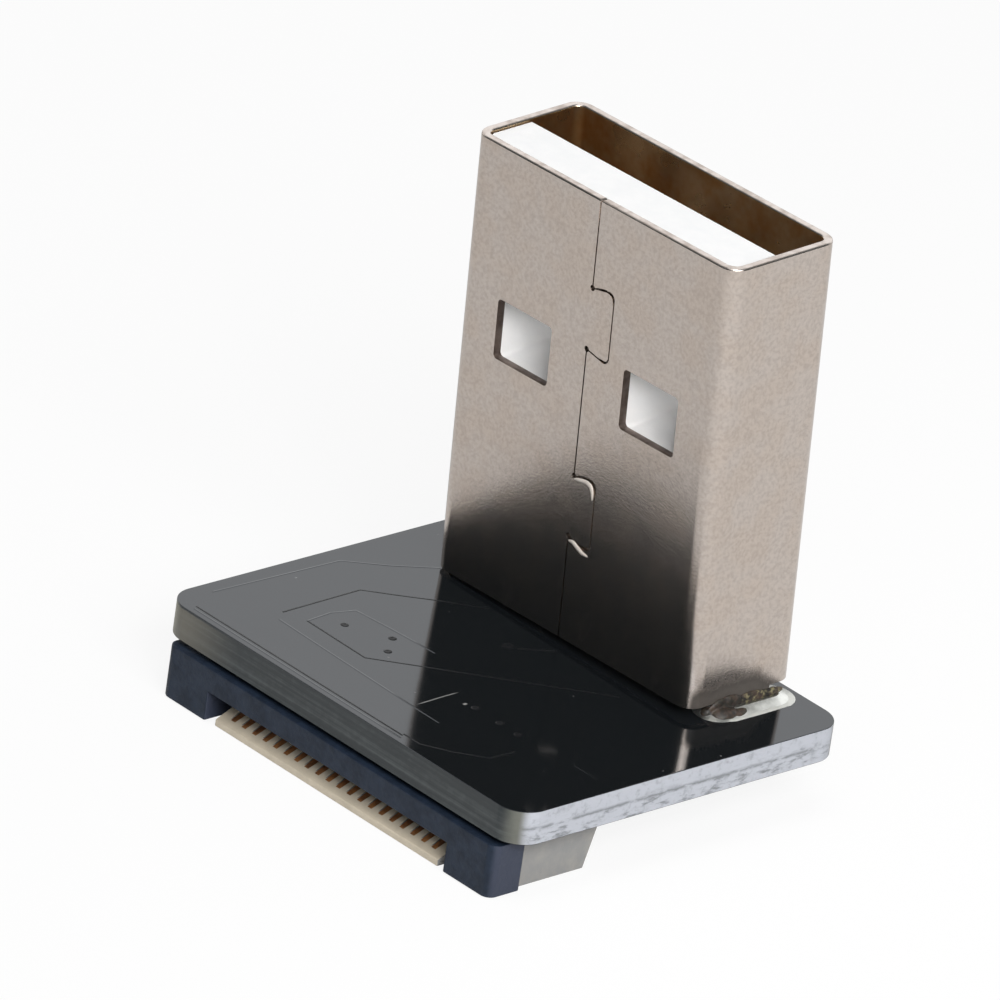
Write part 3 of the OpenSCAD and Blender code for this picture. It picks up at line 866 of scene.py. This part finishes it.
@dataclass
class Board:
    """The circuit board, with the tracks, holes and marks that show through its lacquer."""

    rim: float = 0.035
    track_height: float = 0.009
    track_sink: float = 0.006
    track_width: float = 0.1
    tracks: tuple[tuple[Spot, ...], ...] = (
        ((-7.85, -9.9), (-7.68, -4.7), (-6.7, -3.5), (-5.8, -2.1)),
        ((-5.4, -9.25), (-2.85, -9.33), (0.9, -9.42), (2.4, -9.42)),
        ((-4.9, -8.5), (-5.0, -7.45), (-4.75, -6.6), (-3.3, -6.45), (-1.3, -6.3)),
        ((-7.2, -11.22), (2.6, -11.22)),
        ((5.9, -6.8), (6.6, -7.5), (7.6, -7.5)),
    )
    gaps: tuple[tuple[Spot, ...], ...] = (
        ((-5.74, -8.8), (-5.8, -5.5), (-5.0, -4.7), (-4.15, -3.8), (-2.9, -2.6)),
        ((3.7, -3.0), (1.2, -5.4), (-0.85, -7.35), (-2.1, -8.55), (-4.9, -8.5)),
        ((-0.35, -3.7), (0.35, -2.7)),
        ((2.45, -10.95), (3.2, -10.95), (4.05, -10.4), (4.95, -9.6), (5.0, -8.6)),
        ((-7.3, -11.05), (2.5, -11.05)),
    )
    vias: tuple[Spot, ...] = (
        (-4.15, -7.6), (-2.72, -6.85), (-2.1, -7.6), (2.15, -7.7), (3.3, -7.7), (4.15, -7.7),
    )
    ringed_via: Spot = (-0.62, -3.85)
    via_radius: float = 0.14
    ringed_share: float = 1.5
    ring_height: float = 0.012
    ring_insets: tuple[float, float, float] = (0.22, 0.3, 0.25)
    corner: float = 1.0
    edge_zone: float = 1.6
    under_vias: tuple[Spot, ...] = ((-6.4, -1.9), (6.3, -3.1), (2.2, -3.6), (-2.4, -4.1), (4.6, -2.2))

    def build(self) -> None:
        """Builds the board and all that lies on it."""
        self.make_board()
        low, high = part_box("circuit_board")
        top, bottom = high.z / MM, low.z / MM
        marks = [self.make_track(route, index, top) for index, route in enumerate(self.tracks)]
        hand_in(Bench.join(marks, "board_tracks"), Body.BOARD, [MASK])
        lines = [self.make_track(route, 50 + index, top) for index, route in enumerate(self.gaps)]
        hand_in(Bench.join(lines, "board_grooves"), Body.BOARD, [GROOVE])
        vias = [self.make_via(spot, self.via_radius, index, top, 1.0) for index, spot in enumerate(self.vias)]
        vias.append(self.make_via(self.ringed_via, self.ringed_share * self.via_radius, len(vias), top, 1.0))
        for spot in self.under_vias:
            vias.append(self.make_via(spot, self.via_radius, len(vias), bottom, -1.0))
        hand_in(Bench.join(vias, "board_vias"), Body.BOARD, [GROOVE])

    def make_board(self) -> None:
        """Rounds the board's rims and parts its lacquer from its cut edge and its plated holes."""
        low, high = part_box("circuit_board")
        board = Bench.copy_node("circuit_board", "lacquered_board")
        Bench.soften(board, self.rim, 2, 50.0)
        Bench.settle(board)
        board.data.materials.clear()
        for finish in (MASK, LAMINATE, PAD_TIN):
            board.data.materials.append(finish.material())
        for face in board.data.polygons:
            upright = abs(face.normal.z) < 0.3
            beyond = max(abs(face.center.x) - high.x, face.center.y - high.y, low.y - face.center.y)
            outer = beyond > -self.edge_zone * MM and self.on_outline(face.center, low, high)
            face.material_index = 0 if not upright else 1 if outer else 2
        hand_in(board, Body.BOARD, nodes=["circuit_board"])

    def on_outline(self, place: Vector, low: Vector, high: Vector, slack: float = 0.15) -> bool:
        """Says whether a place is on the board's rounded outline.

        Args:
            place: The place, in metres.
            low: The board's lowest corner.
            high: The board's highest corner.
            slack: How far off the outline it may be, in millimetres.

        Returns:
            Whether it is on the outline.
        """
        radius = self.corner * MM
        beyond_x = max(abs(place.x) - (high.x - radius), 0.0)
        beyond_y = max(place.y - (high.y - radius), (low.y + radius) - place.y, 0.0)
        return math.hypot(beyond_x, beyond_y) > radius - slack * MM

    def make_track(self, route: Sequence[Spot], index: int, top: float) -> bpy.types.Object:
        """Lays one raised track along a route.

        Args:
            route: The route's points in millimetres.
            index: The track's number.
            top: The height of the board's face.

        Returns:
            The track.
        """
        Bench.clear()
        start = Vector((*route[0], top - self.track_sink)) * MM
        bpy.ops.mesh.primitive_plane_add(size=self.track_width * MM, location=start)
        track = bpy.context.object
        track.name = f"track_{index}"
        bpy.ops.object.mode_set(mode="EDIT")
        bpy.ops.mesh.select_mode(type="VERT")
        bpy.ops.mesh.select_all(action="SELECT")
        bpy.ops.mesh.merge(type="CENTER")
        for first, second in zip(route, route[1:]):
            step = (Vector((*second, 0.0)) - Vector((*first, 0.0))) * MM
            bpy.ops.mesh.extrude_region_move(TRANSFORM_OT_translate={"value": step})
        bpy.ops.object.mode_set(mode="OBJECT")
        bpy.ops.object.convert(target="CURVE")
        track.data.dimensions = "3D"
        track.data.bevel_depth = self.track_width / 2 * MM
        track.data.bevel_resolution = 1
        track.data.use_fill_caps = True
        bpy.ops.object.convert(target="MESH")
        flat = (self.track_height + self.track_sink) / (self.track_width / 2)
        Bench.edit(track)
        bpy.ops.mesh.select_all(action="SELECT")
        bpy.ops.transform.resize(value=(1.0, 1.0, flat), center_override=start)
        bpy.ops.object.mode_set(mode="OBJECT")
        return Bench.settle(track)

    def make_via(self, spot: Spot, radius: float, index: int, level: float, up: float) -> bpy.types.Object:
        """Makes a lacquered through hole: a low ring around a dimple.

        Args:
            spot: Its centre in millimetres.
            radius: Its outer radius in millimetres.
            index: Its number.
            level: The height of the board's face.
            up: 1 on the upper face, and -1 on the lower.

        Returns:
            The via.
        """
        Bench.clear()
        depth = 2 * self.track_sink
        place = Vector((*spot, level - up * (depth / 2 - self.track_sink / 2))) * MM
        bpy.ops.mesh.primitive_cylinder_add(vertices=20, radius=radius * MM, depth=depth * MM, location=place)
        via = bpy.context.object
        via.name = f"via_{index}"
        Bench.edit(via)
        Bench.select_faces(via, lambda face: face.normal.z * up > 0.9)
        slope, crown, bowl = self.ring_insets
        bpy.ops.mesh.inset(thickness=slope * radius * MM)
        bpy.ops.transform.translate(value=(0.0, 0.0, up * self.ring_height * MM))
        bpy.ops.mesh.inset(thickness=crown * radius * MM)
        bpy.ops.mesh.inset(thickness=bowl * radius * MM)
        bpy.ops.transform.translate(value=(0.0, 0.0, -up * 0.9 * self.ring_height * MM))
        bpy.ops.object.mode_set(mode="OBJECT")
        return Bench.settle(via)


@dataclass
class Plug:
    """The upright plug: its folded shell, white insulator and four contacts."""

    lean_front: float = 2.56
    lean_side: float = 1.1
    lift: float = 0.335
    sheet_edge: float = 0.045
    rim_edge: float = 0.08
    plastic_edge: float = 0.06
    inner_reach: float = 1.0
    side_wall_x: float = 5.0
    mouth_zone: float = 1.5
    pocket_x: float = 2.925
    pocket_y: float = -1.45
    pocket_z: float = 9.05
    pocket_reach: float = 1.3
    window_reach: float = 1.45
    pocket_area: float = 5.0
    pocket_fill: float = 0.22
    dish_steps: tuple[tuple[float, float], ...] = ((0.84, 0.36), (0.8, 0.28), (0.68, 0.18), (0.5, 0.08))
    front_y: float = -2.25
    seam_x: float = -0.06
    tab_roots: tuple[tuple[float, float, float], ...] = (
        (3.53, -1.0, 1.0), (5.63, 1.0, 1.0), (10.03, -1.0, 0.55), (12.13, 1.0, 0.6)
    )
    relief_radius: float = 0.1
    gape: float = 0.06
    gape_depth: float = 1.2
    lip: float = 0.075
    lip_depth: float = 0.05
    upper_gape: tuple[Spot, ...] = (
        (0.08, 0.02), (0.35, 0.1), (0.66, 0.15), (0.85, 0.1), (0.96, -0.03), (1.0, -0.3)
    )
    upper_lip: tuple[Spot, ...] = (
        (0.0, -0.1), (0.3, -0.02), (0.62, 0.02), (0.8, -0.04), (0.88, -0.22), (0.9, -0.5)
    )
    lower_gape: tuple[Spot, ...] = ((0.6, -0.09), (0.8, -0.12), (0.93, -0.1), (0.99, 0.04))
    lower_lip: tuple[Spot, ...] = ((0.02, -0.14), (0.24, -0.11), (0.46, -0.21), (0.68, -0.31), (0.96, -0.33))

    def stance(self) -> Matrix:
        """The turn and place of the plug as it is soldered."""
        sideways = Matrix.Rotation(math.radians(-self.lean_side), 4, "Y")
        forward = Matrix.Rotation(math.radians(self.lean_front), 4, "X")
        return sideways @ forward @ Matrix.Translation((0, 0, self.lift))

    def build(self) -> None:
        """Builds the plug's pieces and finishes its contacts."""
        self.make_shell()
        self.make_tongue()
        for number in range(1, 5):
            dress_node(f"plug_contact_{number}", GOLD)

    def make_shell(self) -> None:
        """Rounds the shell's sheet edges, its top rim most, and gives its inner walls a brown metal that is a
        painted reflection of the gold contacts, in painted shade.
        """
        low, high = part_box("plug_shell")
        middle = (low + high) / 2
        shell = Bench.copy_node("plug_shell", "folded_shell")
        lips = [self.relieve(shell, *root, number) for number, root in enumerate(self.tab_roots)]
        raised = [lip for lip in lips if lip is not None]
        # The lips take the pale finish as a painted highlight.
        hand_in(Bench.join(raised, "seam_lips"), Body.BOARD, [LIP_PAINTED_HIGHLIGHT])
        Bench.edit(shell)
        Bench.select_faces(
            shell, lambda face: face.normal.z > 0.9 and face.center.z > high.z - self.mouth_zone * MM
        )
        bpy.ops.mesh.region_to_loop()
        bpy.ops.mesh.bevel(offset=self.rim_edge * MM, segments=3, clamp_overlap=True)
        bpy.ops.object.mode_set(mode="OBJECT")
        Bench.soften(shell, self.sheet_edge, 2, 40.0)
        Bench.settle(shell)
        shell.data.materials.clear()
        for finish in (NICKEL, INNER_WALL_PAINTED_REFLECTION, CUT_SHEET_PAINTED_HIGHLIGHT, WINDOW_EDGE_PAINTED_SHADE):
            shell.data.materials.append(finish.material())
        for face in shell.data.polygons:
            away = (face.center - middle).to_2d().dot(face.normal.to_2d()) / MM
            side_wall = abs(face.center.x - middle.x) > self.side_wall_x * MM
            inside = away < -self.inner_reach and abs(face.normal.z) < 0.3
            # Inner walls: painted reflection of the gold contacts, in painted shade.
            if inside and (side_wall or abs(face.normal.y) > 0.5):
                face.material_index = 1
            # The top rim: cut sheet edge, made brighter as a painted highlight.
            elif face.normal.z > 0.4 and face.center.z > high.z - self.mouth_zone * MM:
                face.material_index = 2
            # The latch windows' edge faces: painted shade.
            elif self.is_window_edge(face):
                face.material_index = 3
        hand_in(shell, Body.BOARD, nodes=["plug_shell"])

    def is_window_edge(self, face: bpy.types.MeshPolygon) -> bool:
        """Says whether a face is on the punched edge of a latch window in the shell's front."""
        place = self.stance().inverted() @ (face.center * PER_METRE)
        beside = max(abs(abs(place.x) - self.pocket_x), abs(place.z - self.pocket_z)) < self.window_reach
        return beside and place.y < 0.0 and abs(face.normal.y) < 0.5

    def relieve(
        self, shell: bpy.types.Object, height: float, end: float, opening: float, number: int
    ) -> bpy.types.Object | None:
        """Stamps a relief hole and an opened gap at one end of a dovetail tab, and turns its lip up.

        Args:
            shell: The shell.
            height: The height of the tab's root above the shell's lower edge, in millimetres.
            end: 1 at a tab's upper end, and -1 at its lower end.
            opening: How wide the gap stands open, as a share of the widest.
            number: The place's number.

        Returns:
            The lip, or nothing where the gap is nearly shut.
        """
        gape, lip = (self.upper_gape, self.upper_lip) if end > 0.0 else (self.lower_gape, self.lower_lip)
        root = Matrix.Translation((self.seam_x, self.front_y, height))
        hole = ((-self.relief_radius, 0.0), (0.0, 0.0), (self.relief_radius, 0.0))
        for part, (path, width) in enumerate(((hole, self.relief_radius), (gape, self.gape * opening))):
            Bench.clear()
            bpy.ops.mesh.primitive_cylinder_add(
                vertices=24, depth=self.gape_depth, rotation=(math.pi / 2, 0.0, 0.0)
            )
            punch = bpy.context.object
            punch.name = f"punch_{number}_{part}"
            self.curl(punch, path, width, 1.0, root)
            Bench.modify(shell, "BOOLEAN", object=punch, operation="DIFFERENCE", solver="EXACT")
            bpy.data.objects.remove(punch)
        if opening < 1.0:
            return None
        Bench.clear()
        bpy.ops.mesh.primitive_uv_sphere_add(segments=24, ring_count=16)
        bead = bpy.context.object
        bead.name = f"seam_lip_{number}"
        self.curl(bead, lip, self.lip, self.lip_depth, root)
        return Bench.settle(bead)

    def curl(
        self, piece: bpy.types.Object, path: Sequence[Spot], width: float, depth: float, place: Matrix
    ) -> None:
        """Bends a round piece of radius 1 along a path on the shell's front.

        Args:
            piece: The piece, still in its own units.
            path: The path's points across and up, in millimetres.
            width: Half the width that it gets, in millimetres.
            depth: How its depth is scaled.
            place: Where the path starts.
        """
        Bench.pick(piece)
        bpy.ops.object.transform_apply(location=True, rotation=True, scale=True)
        points = [Vector((x, 0.0, z)) for x, z in path]
        for vertex in piece.data.vertices:
            along = (vertex.co.x + 1.0) / 2.0 * (len(points) - 1)
            step = min(max(int(along), 0), len(points) - 2)
            way = points[step + 1] - points[step]
            across = Vector((-way.z, 0.0, way.x)).normalized() * vertex.co.z * width
            vertex.co = points[step] + way * (along - step) + across + Vector((0.0, vertex.co.y * depth, 0.0))
        piece.data.transform(Matrix.Diagonal((MM, MM, MM, 1.0)) @ self.stance() @ place)

    def make_tongue(self) -> None:
        """Rounds the insulator's edges and dishes the floors of its two latch pockets."""
        tongue = Bench.copy_node("plug_insulator", "white_tongue")
        Bench.soften(tongue, self.plastic_edge, 2, 35.0)
        Bench.edit(tongue)
        for side in (-1.0, 1.0):
            floor = self.stance() @ Vector((side * self.pocket_x, self.pocket_y, self.pocket_z)) * MM
            Bench.select_faces(tongue, lambda face: face.center.x * side > 0.0 and self.is_pocket_floor(face))
            bpy.ops.transform.translate(value=(0.0, -self.pocket_fill * MM, 0.0))
            for share, depth in self.dish_steps:
                step = (0.0, depth * MM, 0.0)
                bpy.ops.mesh.extrude_region_move(TRANSFORM_OT_translate={"value": step})
                bpy.ops.transform.resize(value=(share, 1.0, share), center_override=floor)
        bpy.ops.object.mode_set(mode="OBJECT")
        hand_in(Bench.settle(tongue), Body.BOARD, [WHITE_PLASTIC], ["plug_insulator"])

    def is_pocket_floor(self, face: bpy.types.MeshPolygon) -> bool:
        """Says whether a face is the floor of a latch pocket in the tongue's front."""
        place = self.stance().inverted() @ (face.center * PER_METRE)
        near = abs(place.y - self.pocket_y) < 0.1 and abs(place.z - self.pocket_z) < self.pocket_reach
        return near and face.normal.y < -0.9 and face.area > self.pocket_area * MM**2


@dataclass
class Soldering:
    """The tinned pads, the solder on the legs and pins, and the flux that was burnt at one foot."""

    pad_reach_x: float = 5.88
    pad_width: float = 1.62
    pad_length: float = 3.62
    pad_middle: float = 0.4
    pad_height: float = 0.03
    skin_steps: tuple[Spot, ...] = ((0.04, 0.35), (0.08, 0.25), (0.16, 0.1))
    melt_size: float = 0.028
    knob_size: float = 0.32
    knob_height: float = 0.07
    lumps: tuple[tuple[Point, Point], ...] = (
        ((6.16, -0.85, 0.04), (0.36, 0.5, 0.22)),
        ((6.24, -0.35, 0.02), (0.28, 0.42, 0.14)),
        ((6.0, -0.6, 0.2), (0.12, 0.8, 0.34)),
        ((6.0, 0.4, 0.24), (0.11, 0.8, 0.24)),
        ((6.0, 1.2, 0.26), (0.1, 0.6, 0.15)),
        ((5.9, -1.3, 0.06), (0.2, 0.25, 0.2)),
    )

    def build(self) -> None:
        """Builds the pads and the residue, and finishes the solder nodes."""
        low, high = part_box("circuit_board")
        pads = [self.make_pad(self.pad_reach_x, high.z / MM, 1.0, 0)]
        pads.append(self.make_pad(self.pad_reach_x, low.z / MM, -1.0, 1))
        pads += [Bench.duplicate(pad, f"{pad.name}_left", (0.0, 0.0, 0.0), True) for pad in pads]
        hand_in(Bench.join(pads, "leg_pads"), Body.BOARD, [PAD_TIN])
        hand_in(self.make_crust(), Body.BOARD, [FLUX])
        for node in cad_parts:
            if "solder" in node or "hold_down" in node:
                dress_node(node, TIN)

    def make_pad(self, x: float, level: float, up: float, index: int) -> bpy.types.Object:
        """Makes an oval pad with a rounded skin of solder.

        Args:
            x: The pad's middle, in millimetres.
            level: The height of the board's face.
            up: 1 on the upper face, and -1 on the lower.
            index: The pad's number.

        Returns:
            The pad.
        """
        Bench.clear()
        radius = self.pad_width / 2
        place = Vector((x, self.pad_middle, level)) * MM
        bpy.ops.mesh.primitive_cylinder_add(
            vertices=32, radius=radius * MM, depth=0.6 * self.pad_height * MM, location=place
        )
        pad = bpy.context.object
        pad.name = f"pad_{index}"
        Bench.edit(pad)
        half = (self.pad_length - self.pad_width) / 2 * MM
        for side in (-1.0, 1.0):
            Bench.select_corners(pad, lambda corner: corner.y * side > 0.0)
            bpy.ops.transform.translate(value=(0.0, side * half, 0.0))
        bpy.ops.mesh.select_mode(type="FACE")
        Bench.select_faces(pad, lambda face: face.normal.z * up > 0.9)
        for inset, lift in self.skin_steps:
            bpy.ops.mesh.inset(thickness=inset * MM)
            bpy.ops.transform.translate(value=(0.0, 0.0, up * lift * self.pad_height * MM))
        bpy.ops.object.mode_set(mode="OBJECT")
        return Bench.settle(pad)

    def make_crust(self) -> bpy.types.Object:
        """Heaps lumps of flux along the foot and melts them into one crust.

        Returns:
            The crust.
        """
        heap = []
        for index, (place, radii) in enumerate(self.lumps):
            Bench.clear()
            bpy.ops.mesh.primitive_ico_sphere_add(subdivisions=4, radius=MM, location=Vector(place) * MM)
            lump = bpy.context.object
            lump.name = f"lump_{index}"
            lump.scale = radii
            heap.append(Bench.settle(lump))
        crust = Bench.join(heap, "flux_crust")
        Bench.modify(crust, "REMESH", mode="VOXEL", voxel_size=self.melt_size * MM)
        knobs = bpy.data.textures.new("flux_knobs", "CLOUDS")
        knobs.noise_scale = self.knob_size * MM
        knobs.noise_depth = 2
        height = self.knob_height * MM
        Bench.modify(crust, "DISPLACE", texture=knobs, strength=height, mid_level=0.5, texture_coords="LOCAL")
        Bench.modify(crust, "SMOOTH", factor=0.5, iterations=5)
        return Bench.settle(crust)


@dataclass
class CableConnector:
    """The flat-cable connector under the board: its housing, slider and contacts; its hold-downs are finished
    with the solder.
    """

    plastic_edge: float = 0.04
    slider_edge: float = 0.05
    slider_drop: float = 0.07
    level_slack: float = 0.02

    def build(self) -> None:
        """Builds the connector's pieces and finishes its contacts."""
        housing = Bench.copy_node("connector_housing", "ivory_housing")
        Bench.soften(housing, self.plastic_edge, 2, 35.0)
        hand_in(Bench.settle(housing), Body.BOARD, [IVORY_PLASTIC], ["connector_housing"])
        slider = Bench.copy_node("connector_slider", "navy_slider")
        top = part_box("connector_slider")[1].z
        Bench.edit(slider)
        floor = top - self.level_slack * MM
        Bench.select_faces(slider, lambda face: face.normal.z > 0.9 and face.center.z > floor)
        bpy.ops.transform.translate(value=(0.0, 0.0, -self.slider_drop * MM))
        bpy.ops.object.mode_set(mode="OBJECT")
        Bench.soften(slider, self.slider_edge, 2, 35.0)
        hand_in(Bench.settle(slider), Body.SLIDER, [NAVY_PLASTIC], ["connector_slider"])
        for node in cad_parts:
            if node.startswith("cable_contact"):
                dress_node(node, BRONZE)


# ------------------------------------------------------------------- the studio


@dataclass
class Softbox:
    """A square lamp that looks at the plug from a direction.

    azimuth is measured from +X towards +Y. level is the share of white that it gives a white
    surface turned towards it.
    """

    name: str
    azimuth: float
    elevation: float
    size: float
    level: float
    distance: float = 0.5
    colour: Rgb = (1.0, 1.0, 1.0)

    def build(self, target: Vector) -> None:
        """Hangs the lamp.

        Args:
            target: The point it looks at.
        """
        turn, tilt = math.radians(self.azimuth), math.radians(self.elevation)
        way = Vector((math.cos(turn) * math.cos(tilt), math.sin(turn) * math.cos(tilt), math.sin(tilt)))
        lamp = bpy.data.lights.new(self.name, "AREA")
        lamp.shape = "SQUARE"
        lamp.size = self.size
        lamp.energy = math.pi**2 * self.level * self.distance**2
        lamp.color = self.colour
        holder = bpy.data.objects.new(self.name, lamp)
        holder.location = target + way * self.distance
        holder.rotation_euler = way.to_track_quat("Z", "Y").to_euler()
        bpy.context.scene.collection.objects.link(holder)


@dataclass
class Studio:
    """The camera, the floor, the lamps and the surroundings."""

    azimuth: float = 44.561
    elevation: float = 25.228
    roll: float = 8.403
    distance: float = 423.5
    focal_width: float = 13.472
    shift_right: float = 3.501
    shift_up: float = -4.058
    sensor: float = 36.0
    floor_size: float = 3.0
    backdrop_way: Point = (-0.7, 0.71, 0.0)
    backdrop_level: float = 1.3
    dark_level: float = 0.056
    dark_tone: Rgb = (0.72, 0.93, 1.0)
    fill_level: float = 0.2
    lamps: tuple[Softbox, ...] = (
        Softbox("key", -14.0, 35.0, 0.24, 0.55),
        Softbox("front", -36.0, 34.0, 0.18, 0.55),
        Softbox("top", -60.0, 80.0, 0.22, 0.3),
    )

    def build(self) -> None:
        """Builds the whole studio."""
        self.place_camera()
        self.lay_floor()
        self.light_world()
        low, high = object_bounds()
        for lamp in self.lamps:
            lamp.build((low + high) / 2)
        bpy.context.scene.view_settings.view_transform = "Standard"

    def place_camera(self) -> None:
        """Places the camera on its line of sight, turned by its roll."""
        turn, tilt, roll = (math.radians(angle) for angle in (self.azimuth, self.elevation, self.roll))
        back = Vector((math.sin(turn) * math.cos(tilt), -math.cos(turn) * math.cos(tilt), math.sin(tilt)))
        level = Vector((math.cos(turn), math.sin(turn), 0.0))
        upward = back.cross(level)
        right = math.cos(roll) * level + math.sin(roll) * upward
        above = math.cos(roll) * upward - math.sin(roll) * level
        lens = bpy.data.cameras.new("camera")
        lens.sensor_width = self.sensor
        lens.lens = self.focal_width * self.sensor
        lens.clip_start = 0.01
        lens.clip_end = 20.0
        camera = bpy.data.objects.new("camera", lens)
        place = (self.distance * back - self.shift_right * right - self.shift_up * above) * MM
        camera.matrix_world = Matrix.Translation(place) @ Matrix((right, above, back)).transposed().to_4x4()
        bpy.context.scene.collection.objects.link(camera)
        bpy.context.scene.camera = camera

    def lay_floor(self) -> None:
        """Lays the floor under the object, and marks it as part of the stage."""
        Bench.clear()
        low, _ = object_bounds()
        bpy.ops.mesh.primitive_plane_add(size=self.floor_size, location=(0.0, 0.0, low.z))
        floor = bpy.context.object
        floor.name = "studio_floor"
        Bench.edit(floor)
        bpy.ops.mesh.select_all(action="SELECT")
        bpy.ops.mesh.subdivide(number_cuts=3)
        bpy.ops.object.mode_set(mode="OBJECT")
        floor.data.materials.append(GROUND.material())
        Bench.settle(floor, smooth=False)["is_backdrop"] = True

    def light_world(self) -> None:
        """Fills the surroundings: white behind on the left, dark in front, and plain for soft light."""
        world = bpy.data.worlds.new("studio_world")
        world.use_nodes = True
        bpy.context.scene.world = world
        graph = Graph(world.node_tree)
        way = graph.node("ShaderNodeTexCoord").outputs["Generated"]
        sockets = {0: way, 1: self.backdrop_way}
        towards = graph.wire("ShaderNodeVectorMath", {"operation": "DOT_PRODUCT"}, sockets, "Value")
        rays = graph.node("ShaderNodeLightPath").outputs
        sharp = Wire(graph, rays["Is Glossy Ray"])
        seen = Wire(graph, rays["Is Camera Ray"])
        clear = Wire(graph, rays["Is Transmission Ray"])
        wall = towards.rise(0.25, 0.6) * (self.backdrop_level - self.dark_level) + self.dark_level
        level = sharp * wall + (1.0 - sharp) * self.fill_level
        shown = graph.maths("MAXIMUM", seen, clear)
        strength = shown + (1.0 - shown) * level
        white = graph.maths("MAXIMUM", shown, graph.maths("MAXIMUM", 1.0 - sharp, towards.rise(0.1, 0.4)))
        tone = graph.blend(white, self.dark_tone, (1.0, 1.0, 1.0))
        sky = graph.node("ShaderNodeBackground", {}, {"Color": tone, "Strength": strength})
        graph.node("ShaderNodeOutputWorld", {}, {"Surface": sky.outputs[0]})


def main() -> None:
    """Builds every piece in order, then the studio."""
    logging.basicConfig(level=logging.INFO, format="%(name)s: %(message)s")
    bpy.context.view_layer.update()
    for assembly in (Board(), Plug(), Soldering(), CableConnector()):
        assembly.build()
        LOG.info("%s is built", type(assembly).__name__)
    Studio().build()


if __name__ == "__main__":
    main()
